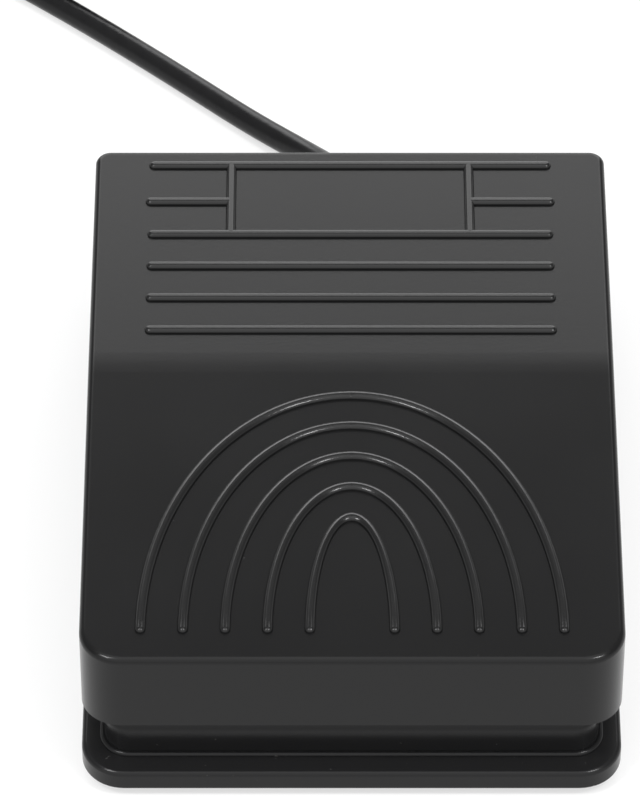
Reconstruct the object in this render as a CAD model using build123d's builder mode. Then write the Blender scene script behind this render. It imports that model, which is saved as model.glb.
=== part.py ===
from build123d import *
import math
import os

os.makedirs("parts", exist_ok=True)

# Speed pedal of a sewing machine, in millimetres. The origin lies on the floor under the middle of
# the base. +Y points to the hinge and the cord, +Z up. The treadle is drawn at rest, fully up.

# ---------------------------------------------------------------- driving dimensions

# Base plate, with the flange that shows all round under the treadle
base_width = 75.8
base_length = 99.85
flange_height = 3.3
flange_front_corner = 6.0
flange_rear_corner = 2.5
flange_edge_round = 0.7
plate_floor = 1.8
least_corner = 0.6

# Rubber feet, let into the underside of the plate
foot_drop = 1.6
foot_diameter = 9.5
foot_recess = 0.8
foot_side_inset = 8.4
foot_end_inset = 7.9
foot_fit = 0.2

# Base housing, a wedge-shaped shell that stands on the plate
housing_side_step = 3.2
housing_front_step = 3.75
housing_rear_step = 4.0
housing_corner = 3.5
housing_wall = 1.8
housing_front_height = 5.7
deck_slope = 6.7
housing_edge_round = 1.2
foot_bead = 0.5
lip_height = 1.0
lip_inset = 1.0
lip_fit = 0.15

# Treadle cover
cover_side_inset = 0.25
cover_front_inset = 0.45
cover_rear_inset = 0.0
cover_wall = 2.0
cover_top_wall = 2.2
cover_front_height = 28.2
cover_front_rise = 2.0
bend_y = 5.9
bend_radius = 110.0
skirt_front_z = 14.7
skirt_rear_z = 6.9
cover_edge_round = 0.9
cover_rib_depth = 3.0
cover_rib_thickness = 1.2
cover_rib_x = 12.0
cover_cross_ribs = (-25.0, 14.0, 30.0)

# Raised grip lines on the treadle
ridge_width = 1.5
ridge_height = 0.6
ridge_round = 0.58
ridge_root = 0.3
arch_count = 5
arch_base_y = -43.9
arch_step_x = 5.84
arch_first_rise = 20.35
arch_step_rise = 5.73
rib_first_y = 12.35
rib_pitch = 6.55
rib_count = 4
rib_half_length = 29.7
label_depth = 14.55
label_side_rib_step = 6.85
label_half_width = 17.5

# Hinge at the rear corners of the base
hinge_y = 41.0
hinge_z = 14.0
travel_deg = 5.0
pin_diameter = 3.0
pin_end_play = 0.35
ear_inset = 6.7
ear_thickness = 3.0
ear_side_gap = 0.35
ear_radius = 3.2
lug_thickness = 2.6
lug_radius = 3.6
running_fit = 0.05
press_gap = 0.01
seat_gap = 0.3
shelf_height = 2.5
pocket_front_y = 33.0
pocket_side_reach = 7.0

# Return springs
spring_x = 19.0
spring_y = -12.0
spring_diameter = 8.0
spring_wire = 0.8
spring_turns = 6
spring_sides = 6
spring_cup_fit = 0.6
spring_cup_depth = 2.0
spring_cup_wall = 1.6
spring_ring_depth = 2.5
spring_seat_wall = 3.3

# Rubber stop pads under the front of the treadle
stop_x = 19.0
stop_y = -38.0
pad_diameter = 8.0
pad_height = 3.2
pad_recess = 0.8
stop_boss_diameter = 7.0
stop_boss_core = 3.4

# Speed sensor: a potentiometer turned by a lever, which the pusher carries along
sensor_y = 17.0
sensor_z = 11.6
sensor_ratio = 3.0
sensor_shaft_diameter = 3.0
sensor_body_radius = 4.0
sensor_body_width = 5.0
sensor_body_x = 3.0
lever_thickness = 2.0
lever_hub_radius = 2.6
lever_pin_diameter = 1.6
lever_eye_radius = 1.2
lever_x = -1.0
pusher_thickness = 2.6
pusher_width = 7.6
pusher_slot_fit = 0.18
pusher_slot_length = 3.2
pusher_slot_web = 1.4
pusher_foot = 12.0
pusher_foot_height = 1.4
pusher_socket_wall = 1.2
slot_margin = 0.9

# Circuit board
board_width = 32.0
board_front_y = -10.0
board_rear_y = 26.0
board_thickness = 1.6
board_stand = 2.0
board_post_diameter = 5.0
board_screw_x = 12.5
board_screw_y = 8.0

# Parts on the circuit board: a capacitor can, a film capacitor and two resistors in one row
part_row = 6.2
part_spread = 9.5
can_diameter = 5.0
can_height = 5.0
can_bevel = 0.4
film_length = 6.5
film_width = 2.6
film_height = 4.5
resistor_diameter = 1.8
resistor_length = 5.0
resistor_pitch = 3.2

# Screws
screw_inset = 7.7
screw_front_y = -30.0
screw_rear_y = 26.0
screw_diameter = 2.8
screw_head_diameter = 5.4
screw_head_height = 1.5
screw_boss_diameter = 6.6
screw_fit = 0.05
small_screw_diameter = 1.9
small_screw_head = 3.6
small_screw_head_height = 1.3

# Cord, its strain relief and the clamp inside the base
cord_diameter = 3.8
cord_z = 8.6
cord_fit = 0.05
relief_root_diameter = 6.2
relief_tip_diameter = 5.0
relief_length = 8.5
relief_bore_depth = 2.5
relief_neck_diameter = 5.2
relief_flange_diameter = 8.4
relief_flange_thickness = 1.5
relief_grooves = 3
relief_groove_width = 0.9
relief_groove_depth = 0.6
notch_clearance = 1.8
clamp_y = 35.0
clamp_length = 5.0
clamp_width = 17.0
clamp_gap = 0.6
clamp_height = 2.4
clamp_screw_x = 5.4
cord_end_y = 30.5
lead_diameter = 1.2

# Coil in which the unseen length is put away
coil_mean_radius = 20.6
coil_step = 4.3
coil_turns_per_layer = 2.75
coil_layers = 4
coil_last_turns_short = 0.5
coil_sides = 8
floor_clearance = 0.05
bend_share = 0.45

# Jack plug, 3.5 mm
plug_grip_diameter = 8.8
plug_grip_length = 21.0
plug_neck_diameter = 5.4
plug_neck_length = 9.0
jack_diameter = 3.5
jack_sleeve_length = 9.2
jack_ring_length = 0.8
jack_tip_length = 4.2
jack_neck_diameter = 2.4
neck_taper = 0.3
neck_groove_depth = 0.7
neck_grooves = 3
shoulder_start = 1.2
shoulder_length = 1.8
shoulder_step = 0.5
nose_length = 2.5
nose_step = 1.2
nose_bevel = 0.4
collar_step = 0.9
collar_length = 0.8
ring_inset = 0.05
ring_waist = 0.15
tip_inset = 0.1
tip_neck_start = 1.3
tip_neck_end = 1.7
tip_bulb = 2.6
tip_bulb_inset = 0.25
tip_point = 0.3

# ---------------------------------------------------------------- derived places

flange_top = foot_drop + flange_height
floor_top = foot_drop + plate_floor
base_front = -base_length / 2
base_rear = base_length / 2
cover_front = base_front + cover_front_inset
cover_rear = base_rear - cover_rear_inset
cover_width = base_width - 2 * cover_side_inset
foot_x = base_width / 2 - foot_side_inset
foot_y = base_length / 2 - foot_end_inset
housing_width = base_width - 2 * housing_side_step
screw_x = housing_width / 2 - screw_inset
ear_x = housing_width / 2 - ear_inset
pocket_inner_x = ear_x - pocket_side_reach
housing_front = base_front + housing_front_step
housing_rear = base_rear - housing_rear_step
shelf_top = flange_top + shelf_height
cord_radius = cord_diameter / 2
cord_floor_z = cord_radius + floor_clearance
sin_travel = math.sin(math.radians(travel_deg))
cos_travel = math.cos(math.radians(travel_deg))


def top_z(y):
    """Height of the treadle's upper face at rest: it climbs to the bend and is level behind it."""
    rise = math.tan(math.radians(cover_front_rise))
    return cover_front_height + (min(y, bend_y) - cover_front) * rise


def skirt_z(y):
    """Height of the skirt's lower edge, which rises evenly from the hinge to the front."""
    share = (y - cover_front) / (cover_rear - cover_front)
    return skirt_front_z + share * (skirt_rear_z - skirt_front_z)


def deck_z(y):
    """Height of the housing's sloping deck."""
    return flange_top + housing_front_height + (y - housing_front) * math.tan(math.radians(deck_slope))


def pressed_drop(y, z):
    """How far a point of the treadle comes down at full travel."""
    return (hinge_y - y) * sin_travel + (z - hinge_z) * (1 - cos_travel)


def rounded_plan(width, front_y, rear_y, front_radius, rear_radius, height=0):
    """Plan outline, centred on X, with one radius at the front corners and one at the rear ones."""
    with BuildSketch(Plane.XY.offset(height)) as outline:
        with Locations((0, (front_y + rear_y) / 2)):
            Rectangle(width, rear_y - front_y)
        fillet(outline.vertices().group_by(Axis.Y)[0], front_radius)
        fillet(outline.vertices().group_by(Axis.Y)[-1], rear_radius)
    return outline.sketch


def flange_plan(inset, height=0):
    """Outline of the base plate, drawn in by inset."""
    return rounded_plan(
        base_width - 2 * inset,
        base_front + inset,
        base_rear - inset,
        max(flange_front_corner - inset, least_corner),
        max(flange_rear_corner - inset, least_corner),
        height,
    )


def cover_plan(inset):
    """Outline of the treadle seen from above, drawn in by inset."""
    return rounded_plan(
        cover_width - 2 * inset,
        cover_front + inset,
        cover_rear - inset,
        max(flange_front_corner - cover_side_inset - inset, least_corner),
        max(flange_rear_corner - cover_side_inset - inset, least_corner),
    )


def housing_plan(inset, height=0):
    """Outline of the housing's foot, drawn in by inset."""
    corner = max(housing_corner - inset, least_corner)
    return rounded_plan(
        housing_width - 2 * inset, housing_front + inset, housing_rear - inset, corner, corner, height
    )


def corner_pairs(x, y):
    """Left and right places at one depth."""
    return [(-x, y), (x, y)]


def write(builder, name):
    """Label a finished piece and write its STEP file."""
    builder.part.label = name
    export_step(builder.part, f"parts/{name}.step")


# ---------------------------------------------------------------- base plate

foot_places = corner_pairs(foot_x, -foot_y) + corner_pairs(foot_x, foot_y)
screw_places = corner_pairs(screw_x, screw_front_y) + corner_pairs(screw_x, screw_rear_y)
screw_seat_z = foot_drop + seat_gap + screw_head_height
screw_pad_top = screw_seat_z + plate_floor
board_z = floor_top + board_stand
board_top = board_z + board_thickness
board_screws = corner_pairs(board_screw_x, board_screw_y)
clamp_screws = corner_pairs(clamp_screw_x, clamp_y)
saddle_top = cord_z - clamp_gap
saddle_height = saddle_top - floor_top

with BuildPart() as base_plate:
    extrude(flange_plan(0, foot_drop), amount=flange_height)
    fillet(base_plate.edges().group_by(Axis.Z)[-1], flange_edge_round)
    fillet(base_plate.edges().group_by(Axis.Z)[0], flange_edge_round / 2)
    pocket = housing_plan(lip_inset - lip_fit, floor_top)
    extrude(pocket, amount=flange_height, mode=Mode.SUBTRACT)
    # pads under the housing screws, posts under the board, and the lower half of the cord clamp
    with BuildSketch(Plane.XY.offset(floor_top)):
        with Locations(*screw_places):
            Circle(screw_boss_diameter / 2)
    extrude(amount=screw_pad_top - floor_top)
    with BuildSketch(Plane.XY.offset(floor_top)):
        with Locations(*board_screws):
            Circle(board_post_diameter / 2)
    extrude(amount=board_stand)
    with BuildSketch(Plane.XY.offset(floor_top)):
        with Locations((0, clamp_y)):
            Rectangle(clamp_width, clamp_length)
    extrude(amount=saddle_height)
    with BuildSketch(Plane.XZ.offset(-clamp_y - clamp_length)):
        with Locations((0, cord_z)):
            Circle(cord_radius + cord_fit)
    extrude(amount=2 * clamp_length, mode=Mode.SUBTRACT)
    # foot recesses and screw holes from beneath
    with BuildSketch(Plane.XY.offset(foot_drop)):
        with Locations(*foot_places):
            Circle(foot_diameter / 2 + foot_fit)
    extrude(amount=foot_recess, mode=Mode.SUBTRACT)
    with BuildSketch(Plane.XY.offset(foot_drop)):
        with Locations(*screw_places):
            Circle(screw_head_diameter / 2 + seat_gap)
    extrude(amount=screw_seat_z - foot_drop, mode=Mode.SUBTRACT)
    with BuildSketch(Plane.XY.offset(foot_drop)):
        with Locations(*screw_places):
            Circle(screw_diameter / 2 + seat_gap)
    extrude(amount=screw_pad_top, mode=Mode.SUBTRACT)
    # pilot holes of the board screws and the clamp screws
    with BuildSketch(Plane.XY.offset(floor_top)):
        with Locations(*board_screws, *clamp_screws):
            Circle(small_screw_diameter / 2 + screw_fit)
    extrude(amount=saddle_height, mode=Mode.SUBTRACT)
write(base_plate, "base_plate")

# Four rubber feet, each with a bevelled rim
foot_names = ("foot_front_left", "foot_front_right", "foot_rear_left", "foot_rear_right")
for foot_name, place in zip(foot_names, foot_places):
    with BuildPart() as foot:
        with BuildSketch():
            with Locations(place):
                Circle(foot_diameter / 2)
        extrude(amount=foot_drop + foot_recess)
        chamfer(foot.edges().group_by(Axis.Z)[0], foot_recess / 2)
    write(foot, foot_name)

# ---------------------------------------------------------------- base housing

housing_back_height = deck_z(housing_rear)
spring_places = corner_pairs(spring_x, spring_y)
stop_places = corner_pairs(stop_x, stop_y)
cup_floor = deck_z(spring_y) - spring_cup_depth
cup_radius = spring_diameter / 2 + spring_cup_fit
pad_floor = deck_z(stop_y) - pad_recess
pad_cup_radius = pad_diameter / 2 + foot_fit
pusher_x = lever_x - lever_thickness / 2 - ear_side_gap - pusher_thickness / 2
lever_reach = (hinge_y - sensor_y) / (sensor_ratio - 1)
lever_tilt = sensor_ratio * travel_deg / 2
lever_arm = lever_reach / math.cos(math.radians(lever_tilt))
pusher_y = sensor_y - lever_reach
lever_pin_z = sensor_z + lever_arm * math.sin(math.radians(lever_tilt))


def housing_form(inset):
    """Wedge with a hinge pocket at each rear corner, drawn in by inset all over but its foot."""
    with BuildPart() as form:
        with BuildSketch(Plane.YZ.offset(inset - housing_width / 2)):
            with BuildLine():
                Polyline(
                    (housing_front + inset, flange_top),
                    (housing_front + inset, deck_z(housing_front + inset) - inset),
                    (housing_rear - inset, deck_z(housing_rear - inset) - inset),
                    (housing_rear - inset, flange_top),
                    close=True,
                )
            make_face()
        extrude(amount=housing_width - 2 * inset)
        extrude(housing_plan(inset), amount=2 * housing_back_height, mode=Mode.INTERSECT)
        with BuildSketch(Plane.XY.offset(shelf_top - inset)):
            for side in (-1, 1):
                with Locations((side * (pocket_inner_x - inset), pocket_front_y - inset)):
                    edge = Align.MIN if side > 0 else Align.MAX
                    Rectangle(housing_width, base_length, align=(edge, Align.MIN))
        extrude(amount=housing_back_height, mode=Mode.SUBTRACT)
    return form.part


lug_gap = ear_thickness / 2 + ear_side_gap
lug_centres = (ear_x - lug_gap - lug_thickness / 2, ear_x + lug_gap + lug_thickness / 2)

housing_outside = housing_form(0)
housing_inside = housing_form(housing_wall)

with BuildPart() as base_housing:
    add(housing_outside)
    deck_edges = base_housing.faces().filter_by(lambda f: f.normal_at().Z > 0.9).sort_by(Axis.Z)[-1].edges()
    fillet(deck_edges, housing_edge_round)
    add(housing_inside, mode=Mode.SUBTRACT)
    # bead round the foot, and the lip that locates the shell in the plate
    extrude(housing_plan(-foot_bead, flange_top), amount=foot_bead)
    extrude(housing_plan(housing_wall, flange_top), amount=foot_bead, mode=Mode.SUBTRACT)
    extrude(housing_plan(lip_inset, flange_top - lip_height), amount=lip_height + foot_bead)
    extrude(
        housing_plan(housing_wall, flange_top - lip_height), amount=lip_height + foot_bead, mode=Mode.SUBTRACT
    )
    # screw bosses under the deck
    for place in screw_places:
        with BuildSketch(Plane.XY.offset(screw_pad_top)):
            with Locations(place):
                Circle(screw_boss_diameter / 2)
        extrude(amount=deck_z(place[1]) - housing_wall / 2 - screw_pad_top)
    with BuildSketch(Plane.XY.offset(screw_pad_top)):
        with Locations(*screw_places):
            Circle(screw_diameter / 2 + screw_fit)
    extrude(amount=deck_z(screw_front_y) - housing_wall - screw_pad_top, mode=Mode.SUBTRACT)
    # spring cups sunk in the deck
    with BuildSketch(Plane.XY.offset(cup_floor - spring_cup_wall)):
        with Locations(*spring_places):
            Circle(cup_radius + spring_cup_wall)
    extrude(amount=spring_cup_wall + spring_cup_depth - housing_wall / 2)
    with BuildSketch(Plane.XY.offset(cup_floor)):
        with Locations(*spring_places):
            Circle(cup_radius)
    extrude(amount=2 * spring_cup_depth, mode=Mode.SUBTRACT)
    # shallow cups for the stop pads
    with BuildSketch(Plane.XY.offset(pad_floor)):
        with Locations(*stop_places):
            Circle(pad_cup_radius)
    extrude(amount=2 * pad_recess, mode=Mode.SUBTRACT)
    # slot in the deck for the pusher
    with BuildSketch(Plane.XY.offset(deck_z(pusher_y) - 2 * housing_wall)):
        with Locations((pusher_x, pusher_y)):
            Rectangle(pusher_thickness + 2 * slot_margin, pusher_width + 2 * slot_margin)
    extrude(amount=3 * housing_wall, mode=Mode.SUBTRACT)
    # hinge lugs on the rear shelves
    for side in (-1, 1):
        for centre in lug_centres:
            with BuildSketch(Plane.YZ.offset(side * centre - lug_thickness / 2)):
                with Locations((hinge_y, hinge_z)):
                    Circle(lug_radius)
                with Locations((hinge_y, (hinge_z + shelf_top - housing_wall) / 2)):
                    Rectangle(2 * lug_radius, hinge_z - shelf_top + housing_wall)
            extrude(amount=lug_thickness)
    with BuildSketch(Plane.YZ.offset(-housing_width / 2)):
        with Locations((hinge_y, hinge_z)):
            Circle(pin_diameter / 2 + running_fit / 2)
    extrude(amount=housing_width / 2 - pocket_inner_x - housing_wall / 2, mode=Mode.SUBTRACT)
    with BuildSketch(Plane.YZ.offset(housing_width / 2)):
        with Locations((hinge_y, hinge_z)):
            Circle(pin_diameter / 2 + running_fit / 2)
    extrude(amount=-(housing_width / 2 - pocket_inner_x - housing_wall / 2), mode=Mode.SUBTRACT)
    # hole for the strain relief in the rear wall
    with BuildSketch(Plane.XZ.offset(-housing_rear - foot_bead)):
        with Locations((0, cord_z)):
            Circle(relief_neck_diameter / 2 + cord_fit)
    extrude(amount=housing_wall + 2 * foot_bead, mode=Mode.SUBTRACT)
write(base_housing, "base_housing")

# Screws that hold the housing down, driven from beneath
with BuildPart() as housing_screws:
    with BuildSketch(Plane.XY.offset(screw_seat_z - screw_head_height)):
        with Locations(*screw_places):
            Circle(screw_head_diameter / 2)
    extrude(amount=screw_head_height)
    chamfer(housing_screws.edges().group_by(Axis.Z)[0], screw_head_height / 4)
    with BuildSketch(Plane.XY.offset(screw_seat_z)):
        with Locations(*screw_places):
            Circle(screw_diameter / 2)
    extrude(amount=deck_z(screw_front_y) - housing_wall - seat_gap - screw_seat_z)
write(housing_screws, "housing_screws")

# ---------------------------------------------------------------- treadle cover


def treadle_form(wall, top_wall, overrun):
    """Block of the treadle, drawn in by wall and top_wall, its foot carried down by overrun."""
    front = cover_front + wall
    rear = cover_rear - wall
    with BuildPart() as form:
        with BuildSketch(Plane.YZ.offset(wall - cover_width / 2)) as profile:
            with BuildLine():
                Polyline(
                    (front, skirt_z(front) - overrun),
                    (front, top_z(front) - top_wall),
                    (bend_y, top_z(bend_y) - top_wall),
                    (rear, top_z(rear) - top_wall),
                    (rear, skirt_z(rear) - overrun),
                    close=True,
                )
            make_face()
            bend = profile.vertices().sort_by_distance((bend_y, top_z(bend_y) - top_wall))[0]
            fillet(bend, bend_radius - top_wall)
        extrude(amount=cover_width - 2 * wall)
        extrude(cover_plan(wall), amount=2 * cover_front_height, mode=Mode.INTERSECT)
    return form.part


front_slope = math.radians(cover_front_rise)
bend_width = 2 * bend_radius * math.tan(front_slope / 2)
front_face = Plane(
    origin=(0, arch_base_y, top_z(arch_base_y)),
    x_dir=(1, 0, 0),
    z_dir=(0, -math.sin(front_slope), math.cos(front_slope)),
)
rear_face = Plane.XY.offset(top_z(bend_y))
label_rib_y = rib_first_y + (rib_count - 1) * rib_pitch
top_rib_y = label_rib_y + label_depth

with BuildPart() as ridges:
    # five half-ellipse arches on the front face, from the largest inwards
    with BuildSketch(front_face.offset(-ridge_root)) as arches:
        for k in range(arch_count, 0, -1):
            half_span = arch_step_x * k
            rise = arch_first_rise + arch_step_rise * (k - 1)
            Ellipse(half_span + ridge_width / 2, rise + ridge_width / 2)
            Ellipse(half_span - ridge_width / 2, rise - ridge_width / 2, mode=Mode.SUBTRACT)
        Rectangle(base_width, base_length, align=(Align.CENTER, Align.MAX), mode=Mode.SUBTRACT)
        with Locations(*[(s * arch_step_x * k, 0) for k in range(1, arch_count + 1) for s in (-1, 1)]):
            Circle(ridge_width / 2)
    extrude(amount=ridge_root + ridge_height)
    # cross ribs on the rear face, with a bare field framed at the rear
    with BuildSketch(rear_face.offset(-ridge_root)):
        with Locations(*[(0, rib_first_y + i * rib_pitch) for i in range(rib_count)], (0, top_rib_y)):
            SlotOverall(2 * rib_half_length, ridge_width)
        side_rib = rib_half_length - label_half_width
        for side in (-1, 1):
            with Locations((side * (label_half_width + side_rib / 2), label_rib_y + label_side_rib_step)):
                SlotOverall(side_rib + ridge_width / 2, ridge_width)
            with Locations((side * label_half_width, label_rib_y + label_depth / 2)):
                Rectangle(ridge_width, label_depth)
    extrude(amount=ridge_root + ridge_height)
    crests = [f for f in ridges.faces() if f.normal_at().Z > 0.99 and f.center().Z > top_z(f.center().Y)]
    fillet(ShapeList(crests).edges(), ridge_round)

spring_seat_z = top_z(spring_y) - spring_seat_wall
spring_length = spring_seat_z - cup_floor
ring_bottom = spring_seat_z - spring_ring_depth
stop_pad_top = pad_floor + pad_height
stop_boss_z = stop_pad_top + seat_gap + pressed_drop(stop_y - stop_boss_diameter / 2, stop_pad_top)
socket_z = top_z(pusher_y) - cover_top_wall
socket_half = pusher_foot / 2 + running_fit
heel_z = shelf_top + seat_gap
heel_rear = cover_rear - cover_wall / 2
ear_root_z = top_z(hinge_y) - cover_top_wall / 2
ear_root_front = pocket_front_y + 2 * seat_gap + (ear_root_z - hinge_z) * sin_travel
notch_radius = relief_root_diameter / 2 + notch_clearance

cover_outside = treadle_form(0, 0, 0)
cover_inside = treadle_form(cover_wall, cover_top_wall, base_length)
rib_space = treadle_form(cover_wall / 2, cover_top_wall / 2, 0)
rib_clear = treadle_form(cover_wall, cover_top_wall + cover_rib_depth, base_length)

# Lattice of stiffening ribs that hangs from the top wall
with BuildPart() as cover_ribs:
    with BuildSketch(Plane.XY.offset(skirt_front_z)):
        with Locations(*corner_pairs(cover_rib_x, (cover_front + cover_cross_ribs[-1]) / 2)):
            Rectangle(cover_rib_thickness, cover_cross_ribs[-1] - cover_front)
        with Locations(*[(0, y) for y in cover_cross_ribs]):
            Rectangle(cover_width, cover_rib_thickness)
    extrude(amount=cover_front_height)
    add(rib_space, mode=Mode.INTERSECT)
    add(rib_clear, mode=Mode.SUBTRACT)

# Round bosses: rings that hold the springs, and stops that land on the rubber pads
with BuildPart() as cover_bosses:
    for place in spring_places:
        with BuildSketch(Plane.XY.offset(ring_bottom)):
            with Locations(place):
                Circle(cup_radius + cover_rib_thickness)
        extrude(amount=top_z(place[1]) - cover_top_wall / 2 - ring_bottom)
        with BuildSketch(Plane.XY.offset(ring_bottom)):
            with Locations(place):
                Circle(cup_radius)
        extrude(amount=spring_ring_depth, mode=Mode.SUBTRACT)
    for place in stop_places:
        with BuildSketch(Plane.XY.offset(stop_boss_z)):
            with Locations(place):
                Circle(stop_boss_diameter / 2)
        extrude(amount=top_z(place[1]) - cover_top_wall / 2 - stop_boss_z)
        with BuildSketch(Plane.XY.offset(stop_boss_z)):
            with Locations(place):
                Circle(stop_boss_core / 2)
        extrude(amount=cover_rib_depth, mode=Mode.SUBTRACT)

# Hinge ears: each hangs round its pin, and its heel rests on the shelf when the treadle is up
with BuildPart() as cover_ears:
    for side in (-1, 1):
        with BuildSketch(Plane.YZ.offset(side * ear_x - ear_thickness / 2)):
            with BuildLine():
                Polyline(
                    (ear_root_front, ear_root_z),
                    (hinge_y - ear_radius, hinge_z + ear_radius),
                    (hinge_y - ear_radius, hinge_z),
                    (hinge_y, heel_z),
                    (heel_rear, heel_z),
                    (heel_rear, ear_root_z),
                    close=True,
                )
            make_face()
            with Locations((hinge_y, hinge_z)):
                Circle(ear_radius)
                Circle(pin_diameter / 2 + running_fit, mode=Mode.SUBTRACT)
        extrude(amount=ear_thickness)

with BuildPart() as treadle_cover:
    add(cover_outside)
    upper = treadle_cover.faces().filter_by(lambda f: f.normal_at().Z > 0.9)
    side_reach = cover_width / 4
    rim = upper.edges().filter_by(
        lambda e: abs(e.center().X) > side_reach or abs(e.center().Y - bend_y) > bend_width
    )
    fillet(rim, cover_edge_round)
    add(cover_inside, mode=Mode.SUBTRACT)
    add(ridges.part)
    add(cover_ribs.part)
    add(cover_bosses.part)
    add(cover_ears.part)
    # socket that holds the pusher's foot
    with BuildSketch(Plane.XY.offset(socket_z - pusher_foot_height)):
        with Locations((pusher_x, pusher_y)):
            Rectangle(2 * socket_half + 2 * pusher_socket_wall, 2 * socket_half + 2 * pusher_socket_wall)
            Rectangle(2 * socket_half, 2 * socket_half, mode=Mode.SUBTRACT)
    extrude(amount=pusher_foot_height + cover_top_wall / 2)
    # notch in the rear wall, open downwards, for the strain relief
    with BuildSketch(Plane.XZ.offset(-cover_rear - cover_wall)):
        with Locations((0, cord_z)):
            Circle(notch_radius)
            Rectangle(2 * notch_radius, cover_front_height, align=(Align.CENTER, Align.MAX))
    extrude(amount=3 * cover_wall, mode=Mode.SUBTRACT)
write(treadle_cover, "treadle_cover")

# Pusher finger: its foot sits in the socket and its slot carries the lever's pin
slot_height = lever_pin_diameter + 2 * pusher_slot_fit
pusher_tip_z = lever_pin_z - slot_height / 2 - pusher_slot_web
with BuildPart() as pusher:
    with BuildSketch(Plane.XY.offset(socket_z - seat_gap - pusher_foot_height)):
        with Locations((pusher_x, pusher_y)):
            Rectangle(pusher_foot, pusher_foot)
    extrude(amount=pusher_foot_height)
    fillet(pusher.edges().filter_by(Axis.Z), pusher_foot_height / 2)
    with BuildSketch(Plane.YZ.offset(pusher_x - pusher_thickness / 2)):
        with BuildLine():
            Polyline(
                (pusher_y - pusher_width / 2, pusher_tip_z),
                (pusher_y - pusher_width / 2, socket_z - pusher_foot_height),
                (pusher_y + pusher_width / 2, socket_z - pusher_foot_height),
                (pusher_y + pusher_width / 2, pusher_tip_z),
                close=True,
            )
        make_face()
    extrude(amount=pusher_thickness)
    with BuildSketch(Plane.YZ.offset(pusher_x - pusher_thickness)):
        with Locations((pusher_y, lever_pin_z)):
            SlotCenterToCenter(pusher_slot_length, slot_height)
    extrude(amount=2 * pusher_thickness, mode=Mode.SUBTRACT)
write(pusher, "pusher")

# Hinge pins, kept endways by the side walls of the treadle
pin_inner = lug_centres[0] - lug_thickness / 2 - pin_end_play
pin_outer = cover_width / 2 - cover_wall - pin_end_play
pin_length = pin_outer - pin_inner
for side, pin_name in ((-1, "hinge_pin_left"), (1, "hinge_pin_right")):
    with BuildPart() as hinge_pin:
        with BuildSketch(Plane.YZ.offset(side * (pin_outer + pin_inner) / 2 - pin_length / 2)):
            with Locations((hinge_y, hinge_z)):
                Circle(pin_diameter / 2)
        extrude(amount=pin_length)
        chamfer(hinge_pin.edges().filter_by(GeomType.CIRCLE), pin_end_play)
    write(hinge_pin, pin_name)

# Rubber stop pads in their cups
for place, pad_name in zip(stop_places, ("stop_pad_left", "stop_pad_right")):
    with BuildPart() as stop_pad:
        with BuildSketch(Plane.XY.offset(pad_floor)):
            with Locations(place):
                Circle(pad_diameter / 2)
        extrude(amount=pad_height)
        chamfer(stop_pad.edges().group_by(Axis.Z)[-1], pad_recess)
    write(stop_pad, pad_name)

# ---------------------------------------------------------------- wound forms


def biarc(start, start_tangent, end, end_tangent):
    """Join of the two equal-handled arcs that run from start to end with the given unit tangents."""
    chord = end - start
    both = start_tangent + end_tangent
    bend = 2 * (1 - start_tangent.dot(end_tangent))
    reach = (math.sqrt(chord.dot(both) ** 2 + bend * chord.dot(chord)) - chord.dot(both)) / bend
    return (start + end + (start_tangent - end_tangent) * reach) / 2


def winding(place, quarters):
    """Line through place(turns) at every quarter turn, as two tangent arcs for each quarter."""
    step = 1e-4
    spots = [place(q / 4) for q in range(quarters + 1)]
    tangents = [
        (place(q / 4 + step) - place(q / 4 - step)).normalized() for q in range(quarters + 1)
    ]
    with BuildLine() as path:
        for q in range(quarters):
            joint = biarc(spots[q], tangents[q], spots[q + 1], tangents[q + 1])
            first = TangentArc(spots[q], joint, tangent=tangents[q])
            TangentArc(joint, spots[q + 1], tangent=first % 1)
    return path.wire()


def least_gap(line, diameter, turn_length):
    """Smallest gap of a wound tube to itself, measured on points along its centre line."""
    count = int(line.length / diameter * 2)
    spots = [line @ (i / count) for i in range(count + 1)]
    apart = int(turn_length / line.length * count / 2)
    gaps = [
        (spots[j] - spots[i]).length
        for i in range(count + 1)
        for j in range(i + apart, count + 1)
    ]
    return min(gaps) - diameter


# Return springs, in their cups and rings
spring_radius = (spring_diameter - spring_wire) / 2
spring_rise = (spring_length - spring_wire - 2 * running_fit) / spring_turns


def spring_place(centre):
    """Place on a spring's wire after some turns."""

    def place(turns):
        angle = 2 * math.pi * turns
        return Vector(
            centre[0] + spring_radius * math.cos(angle),
            centre[1] + spring_radius * math.sin(angle),
            cup_floor + spring_wire / 2 + running_fit + spring_rise * turns,
        )

    return place


for place, spring_name in zip(spring_places, ("return_spring_left", "return_spring_right")):
    wire_line = winding(spring_place(place), 4 * spring_turns)
    with BuildPart() as return_spring:
        with BuildSketch(Plane(origin=wire_line @ 0, z_dir=wire_line % 0)):
            RegularPolygon(spring_wire / 2, spring_sides)
        sweep(path=wire_line)
    write(return_spring, spring_name)
spring_gap = least_gap(wire_line, spring_wire, 2 * math.pi * spring_radius)
print("return spring: least gap", round(spring_gap, 2))

# ---------------------------------------------------------------- speed sensor

# Potentiometer: a round case on a foot that stands on the board, with a bore for its shaft
with BuildPart() as potentiometer:
    with BuildSketch(Plane.YZ.offset(sensor_body_x)):
        with Locations((sensor_y, sensor_z)):
            Circle(sensor_body_radius)
        with Locations((sensor_y, board_top)):
            Rectangle(2 * sensor_body_radius, sensor_z - board_top, align=(Align.CENTER, Align.MIN))
        with Locations((sensor_y, sensor_z)):
            Circle(sensor_shaft_diameter / 2 + running_fit, mode=Mode.SUBTRACT)
    extrude(amount=sensor_body_width)
write(potentiometer, "potentiometer")

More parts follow.
